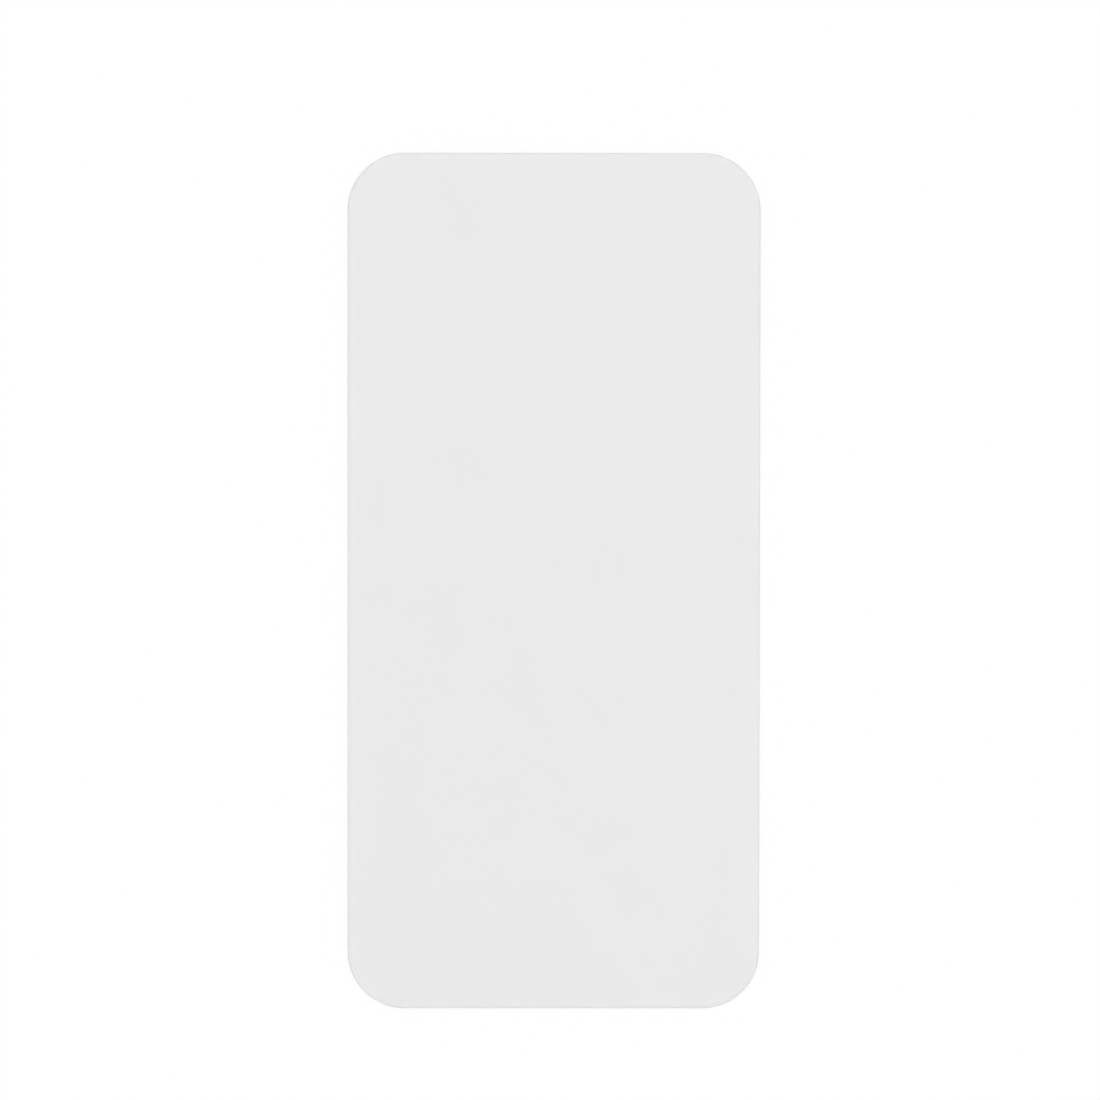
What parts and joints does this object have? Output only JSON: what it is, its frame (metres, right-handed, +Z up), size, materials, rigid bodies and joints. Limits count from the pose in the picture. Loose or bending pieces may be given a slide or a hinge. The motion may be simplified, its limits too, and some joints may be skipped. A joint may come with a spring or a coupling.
{
  "type": "phone screen protector",
  "caption": "Thin flat sheet of matt tempered glass with round corners and an arc-ground upper edge, stuck over a phone's screen to guard it from scratches and knocks.",
  "frame": {"origin": "middle of the flat adhesive underside, on the surface that the sheet lies on", "axes": "+X across the sheet, +Y along it towards the phone's top end, +Z up out of the touch face"},
  "size_m": [0.0698, 0.145, 0.0003],
  "materials": {
    "matt_glass": "matte"
  },
  "bodies": {
    "root": {"glass_sheet": "matt_glass"}
  },
  "joints": []
}
